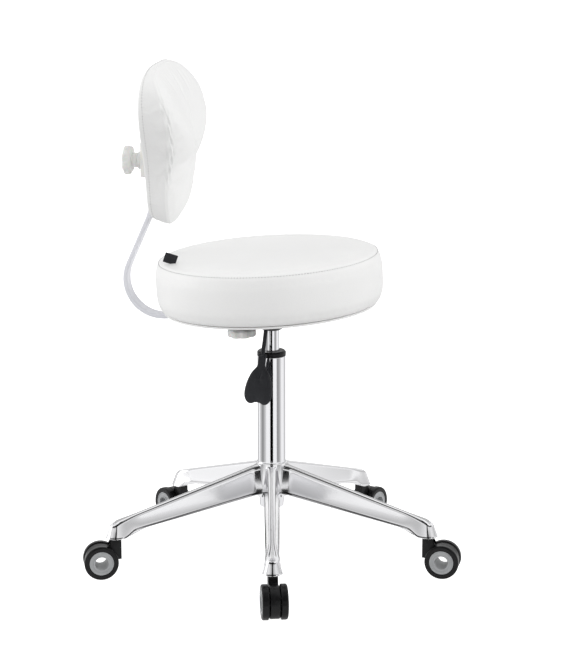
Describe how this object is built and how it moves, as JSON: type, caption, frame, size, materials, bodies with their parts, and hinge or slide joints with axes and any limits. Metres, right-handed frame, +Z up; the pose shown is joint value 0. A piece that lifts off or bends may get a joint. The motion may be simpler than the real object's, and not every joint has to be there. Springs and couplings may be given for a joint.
{
  "type": "pedicure stool",
  "caption": "Round padded swivel stool on a five-legged castor base, with a gas-lift column, release lever and a small waisted backrest on a J-shaped flat bar with two clamp knobs.",
  "frame": {"origin": "on the floor, on the axis of the gas-lift column", "axes": "+Z up along the column, -Y the way the sitter faces, +X to the sitter's left"},
  "size_m": [0.6586, 0.6506, 0.882],
  "materials": {
    "white_leather": "smooth white leatherette",
    "foam": "upholstery foam",
    "plywood": "raw plywood",
    "white_plastic": "moulded white plastic",
    "black_plastic": "moulded black plastic",
    "grey_plastic": "moulded grey plastic",
    "tyre": "soft black tread",
    "chrome": "mirror chrome plate",
    "polished_aluminium": "polished die casting",
    "zinc_steel": "zinc plated steel",
    "black_steel": "black powder coat",
    "white_steel": "pale powder coat"
  },
  "bodies": {
    "base": {"star_base": "polished_aluminium", "castor_stems": "zinc_steel", "outer_tube": "chrome", "guide_bush": "black_plastic", "thrust_bearing": "zinc_steel"},
    "lift_rod": {"piston_rod": "zinc_steel", "retaining_clip": "zinc_steel"},
    "seat": {"gas_cylinder": "chrome", "seat_plate": "black_steel", "bar_channel": "black_steel", "seat_base_pan": "white_plastic", "seat_board": "plywood", "seat_foam": "foam", "seat_band": "white_leather", "seat_top": "white_leather", "seat_bolts": "zinc_steel"},
    "release_lever": {"lever_rod": "black_steel", "lever_paddle": "black_plastic"},
    "release_pin": {"valve_pin": "zinc_steel"},
    "depth_clamp": {"depth_knob": "white_plastic", "depth_stud": "zinc_steel"},
    "bar": {"back_bar": "white_steel"},
    "backrest": {"height_bracket": "white_plastic", "back_board": "plywood", "back_foam": "foam", "back_cover_front": "white_leather", "back_cover_rear": "white_leather", "back_screws": "zinc_steel"},
    "height_clamp": {"height_knob": "white_plastic", "height_stud": "zinc_steel"},
    "castor_1": {"castor_1_body": "black_plastic", "castor_1_sleeve": "grey_plastic"},
    "castor_1_wheel_left": {"castor_1_rim_left": "grey_plastic", "castor_1_tyre_left": "tyre"},
    "castor_1_wheel_right": {"castor_1_rim_right": "grey_plastic", "castor_1_tyre_right": "tyre"},
    "castor_2": {"castor_2_body": "black_plastic", "castor_2_sleeve": "grey_plastic"},
    "castor_2_wheel_left": {"castor_2_rim_left": "grey_plastic", "castor_2_tyre_left": "tyre"},
    "castor_2_wheel_right": {"castor_2_rim_right": "grey_plastic", "castor_2_tyre_right": "tyre"},
    "castor_3": {"castor_3_body": "black_plastic", "castor_3_sleeve": "grey_plastic"},
    "castor_3_wheel_left": {"castor_3_rim_left": "grey_plastic", "castor_3_tyre_left": "tyre"},
    "castor_3_wheel_right": {"castor_3_rim_right": "grey_plastic", "castor_3_tyre_right": "tyre"},
    "castor_4": {"castor_4_body": "black_plastic", "castor_4_sleeve": "grey_plastic"},
    "castor_4_wheel_left": {"castor_4_rim_left": "grey_plastic", "castor_4_tyre_left": "tyre"},
    "castor_4_wheel_right": {"castor_4_rim_right": "grey_plastic", "castor_4_tyre_right": "tyre"},
    "castor_5": {"castor_5_body": "black_plastic", "castor_5_sleeve": "grey_plastic"},
    "castor_5_wheel_left": {"castor_5_rim_left": "grey_plastic", "castor_5_tyre_left": "tyre"},
    "castor_5_wheel_right": {"castor_5_rim_right": "grey_plastic", "castor_5_tyre_right": "tyre"}
  },
  "joints": [
    {"name": "seat_swivel", "type": "hinge", "parent": "base", "child": "lift_rod", "pos_m": [0, 0, 0.11], "axis": [0, 0, 1], "continuous": true},
    {"name": "seat_height", "type": "slide", "parent": "lift_rod", "child": "seat", "axis": [0, 0, 1], "range_m": [-0.03, 0.088]},
    {"name": "lever_pull", "type": "hinge", "parent": "seat", "child": "release_lever", "pos_m": [-0.028, 0.003, 0.452], "axis": [0, 1, 0], "range_deg": [0, 7], "stiffness_Nm_per_rad": 4, "springref_deg": -5.73},
    {"name": "pin_travel", "type": "slide", "parent": "seat", "child": "release_pin", "axis": [0, 0, -1], "range_m": [0, 0.0036], "stiffness_N_per_m": 1500, "springref_m": -0.001},
    {"name": "depth_knob_turn", "type": "hinge", "parent": "seat", "child": "depth_clamp", "pos_m": [0, 0.05344, 0.43228], "axis": [0, -0.0576, -0.9983], "range_deg": [-360, 90]},
    {"name": "back_depth", "type": "slide", "parent": "seat", "child": "bar", "axis": [0, 0.9983, -0.0576], "range_m": [-0.008, 0.03]},
    {"name": "back_height", "type": "slide", "parent": "bar", "child": "backrest", "axis": [0, 0, 1], "range_m": [-0.03, 0.04]},
    {"name": "height_knob_turn", "type": "hinge", "parent": "backrest", "child": "height_clamp", "pos_m": [0, 0.2335, 0.712], "axis": [0, 1, 0], "range_deg": [-360, 90]},
    {"name": "castor_1_swivel", "type": "hinge", "parent": "base", "child": "castor_1", "pos_m": [-0.28015, -0.05395, 0.07], "axis": [0, 0, 1], "continuous": true},
    {"name": "castor_1_roll_left", "type": "hinge", "parent": "castor_1", "child": "castor_1_wheel_left", "pos_m": [-0.30605, -0.06157, 0.03], "axis": [0.2823, -0.9593, 0], "continuous": true},
    {"name": "castor_1_roll_right", "type": "hinge", "parent": "castor_1", "child": "castor_1_wheel_right", "pos_m": [-0.30605, -0.06157, 0.03], "axis": [0.2823, -0.9593, 0], "continuous": true},
    {"name": "castor_2_swivel", "type": "hinge", "parent": "base", "child": "castor_2", "pos_m": [-0.03526, -0.28311, 0.07], "axis": [0, 0, 1], "continuous": true},
    {"name": "castor_2_roll_left", "type": "hinge", "parent": "castor_2", "child": "castor_2_wheel_left", "pos_m": [-0.03592, -0.3101, 0.03], "axis": [0.9997, -0.0244, 0], "continuous": true},
    {"name": "castor_2_roll_right", "type": "hinge", "parent": "castor_2", "child": "castor_2_wheel_right", "pos_m": [-0.03592, -0.3101, 0.03], "axis": [0.9997, -0.0244, 0], "continuous": true},
    {"name": "castor_3_swivel", "type": "hinge", "parent": "base", "child": "castor_3", "pos_m": [0.25836, -0.12102, 0.07], "axis": [0, 0, 1], "continuous": true},
    {"name": "castor_3_roll_left", "type": "hinge", "parent": "castor_3", "child": "castor_3_wheel_left", "pos_m": [0.28261, -0.1329, 0.03], "axis": [0.4399, 0.898, 0], "continuous": true},
    {"name": "castor_3_roll_right", "type": "hinge", "parent": "castor_3", "child": "castor_3_wheel_right", "pos_m": [0.28261, -0.1329, 0.03], "axis": [0.4399, 0.898, 0], "continuous": true},
    {"name": "castor_4_swivel", "type": "hinge", "parent": "base", "child": "castor_4", "pos_m": [0.19494, 0.20832, 0.07], "axis": [0, 0, 1], "continuous": true},
    {"name": "castor_4_roll_left", "type": "hinge", "parent": "castor_4", "child": "castor_4_wheel_left", "pos_m": [0.21304, 0.22835, 0.03], "axis": [-0.742, 0.6704, 0], "continuous": true},
    {"name": "castor_4_roll_right", "type": "hinge", "parent": "castor_4", "child": "castor_4_wheel_right", "pos_m": [0.21304, 0.22835, 0.03], "axis": [-0.742, 0.6704, 0], "continuous": true},
    {"name": "castor_5_swivel", "type": "hinge", "parent": "base", "child": "castor_5", "pos_m": [-0.13788, 0.24977, 0.07], "axis": [0, 0, 1], "continuous": true},
    {"name": "castor_5_roll_left", "type": "hinge", "parent": "castor_5", "child": "castor_5_wheel_left", "pos_m": [-0.14667, 0.2753, 0.03], "axis": [-0.9455, -0.3256, 0], "continuous": true},
    {"name": "castor_5_roll_right", "type": "hinge", "parent": "castor_5", "child": "castor_5_wheel_right", "pos_m": [-0.14667, 0.2753, 0.03], "axis": [-0.9455, -0.3256, 0], "continuous": true}
  ],
  "couplings": [
    {"joint": "pin_travel", "follows": "lever_pull", "m_per_rad": 0.028}
  ]
}
